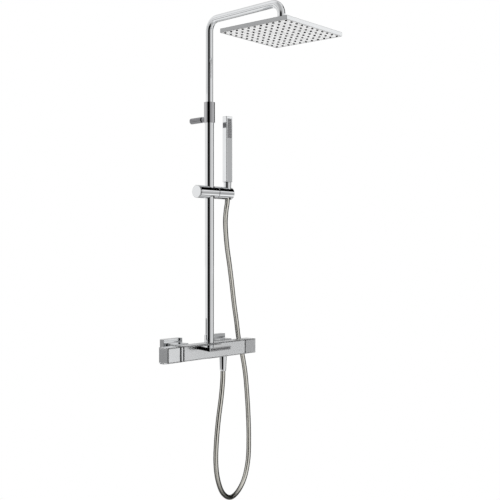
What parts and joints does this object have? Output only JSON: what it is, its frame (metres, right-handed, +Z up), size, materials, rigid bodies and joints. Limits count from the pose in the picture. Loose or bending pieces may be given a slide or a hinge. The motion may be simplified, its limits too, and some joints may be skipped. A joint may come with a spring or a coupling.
{
  "type": "rainfall shower column",
  "caption": "Thermostatic bar valve with a short cascade spout, telescopic riser and swivelling square rain rose, and a stick hand shower on a sliding holder with a hose.",
  "frame": {"origin": "in the wall plane, midway between the two wall inlets, at the height of the valve's axis", "axes": "+X to the right of a person facing the wall, +Y into the wall, +Z up"},
  "size_m": [0.3351, 0.4106, 1.2018],
  "materials": {
    "chrome": "mirror plated brass",
    "spray_face": "fine satin",
    "brass": "machined",
    "steel": "machined",
    "nozzle_rubber": "matte silicone",
    "seal_rubber": "matte",
    "bearing_plastic": "moulded acetal",
    "white_plastic": "moulded",
    "ceramic": "lapped ceramic",
    "wax": "copper capsule",
    "limiter_plastic": "moulded",
    "hose": "bright interlocked spiral strip",
    "satin_chrome": "soft plated brass",
    "grey_plastic": "moulded",
    "grey_rubber": "matte silicone",
    "grey_chrome": "dark plated brass",
    "spout_insert": "moulded"
  },
  "bodies": {
    "column": {"valve_body": "satin_chrome", "temperature_collar": "satin_chrome", "thermostatic_cartridge": "brass", "wax_element": "wax", "thermostat_spring": "steel", "flow_cartridge": "white_plastic", "fixed_disc": "ceramic", "cartridge_nuts": "brass", "valve_seals": "seal_rubber", "cascade_spout": "chrome", "flow_straightener": "spout_insert", "inlet_connectors": "chrome", "union_nuts": "chrome", "escutcheons": "chrome", "check_valves": "white_plastic", "inlet_filters": "steel", "lower_riser": "chrome", "riser_seals": "seal_rubber", "height_collar": "grey_chrome", "collar_bush": "bearing_plastic", "collar_grub_screw": "steel", "bracket_sleeve": "grey_chrome", "bracket_screw": "steel", "outlet_nipple": "brass", "outlet_hose_nut": "chrome", "outlet_washer": "seal_rubber", "shower_hose": "hose"},
    "temperature_handle": {"temperature_handle": "satin_chrome", "temperature_spindle": "brass", "temperature_grub_screw": "steel"},
    "flow_handle": {"flow_handle": "satin_chrome", "flow_spindle": "brass", "moving_disc": "ceramic", "flow_grub_screw": "steel"},
    "slider": {"slider_body": "chrome", "slider_bush": "bearing_plastic", "slider_pad": "bearing_plastic", "slider_spring": "steel", "slider_cap": "chrome", "pivot_bolt": "steel", "friction_washer": "bearing_plastic"},
    "holder": {"handset_holder": "chrome"},
    "handset": {"handset_body": "chrome", "handset_spray_plate": "grey_plastic", "handset_nozzles": "grey_rubber", "handset_nipple": "brass", "flow_limiter": "limiter_plastic", "handset_hose_nut": "chrome", "handset_washer": "seal_rubber"},
    "guide": {"guide_bush": "bearing_plastic", "guide_seals": "seal_rubber"},
    "arm": {"shower_arm": "chrome", "arm_insert": "chrome"},
    "ball_stem": {"ball_stem": "chrome"},
    "ball_seat": {"ball_seat": "bearing_plastic"},
    "rose": {"rose_shell": "chrome", "rose_face": "spray_face", "rose_nozzles": "nozzle_rubber", "rose_gasket": "seal_rubber", "ball_nut": "chrome"}
  },
  "joints": [
    {"name": "temperature_turn", "type": "hinge", "parent": "column", "child": "temperature_handle", "pos_m": [0, -0.063, 0], "axis": [1, 0, 0], "range_deg": [-120, 60]},
    {"name": "flow_turn", "type": "hinge", "parent": "column", "child": "flow_handle", "pos_m": [0, -0.063, 0], "axis": [1, 0, 0], "range_deg": [-90, 90]},
    {"name": "slider_slide", "type": "slide", "parent": "column", "child": "slider", "axis": [0, 0, 1], "range_m": [-0.17, 0.13], "deforming": ["shower_hose"]},
    {"name": "holder_tilt", "type": "hinge", "parent": "slider", "child": "holder", "pos_m": [0, -0.063, 0.385], "axis": [1, 0, 0], "range_deg": [-15, 35], "deforming": ["shower_hose"]},
    {"name": "handset_lift", "type": "slide", "parent": "holder", "child": "handset", "axis": [0, 0, 1], "range_m": [0, 0.03], "deforming": ["shower_hose"]},
    {"name": "telescope_slide", "type": "slide", "parent": "column", "child": "guide", "axis": [0, 0, 1], "range_m": [-0.1, 0.18]},
    {"name": "arm_swivel", "type": "hinge", "parent": "guide", "child": "arm", "pos_m": [0, -0.063, 0.7], "axis": [0, 0, 1], "range_deg": [-60, 60]},
    {"name": "rose_spin", "type": "hinge", "parent": "arm", "child": "ball_stem", "pos_m": [0, -0.293, 0.752], "axis": [0, 0, 1], "continuous": true},
    {"name": "rose_nod", "type": "hinge", "parent": "ball_stem", "child": "ball_seat", "pos_m": [0, -0.293, 0.752], "axis": [1, 0, 0], "range_deg": [-15, 15]},
    {"name": "rose_roll", "type": "hinge", "parent": "ball_seat", "child": "rose", "pos_m": [0, -0.293, 0.752], "axis": [0, 1, 0], "range_deg": [-15, 15]}
  ]
}
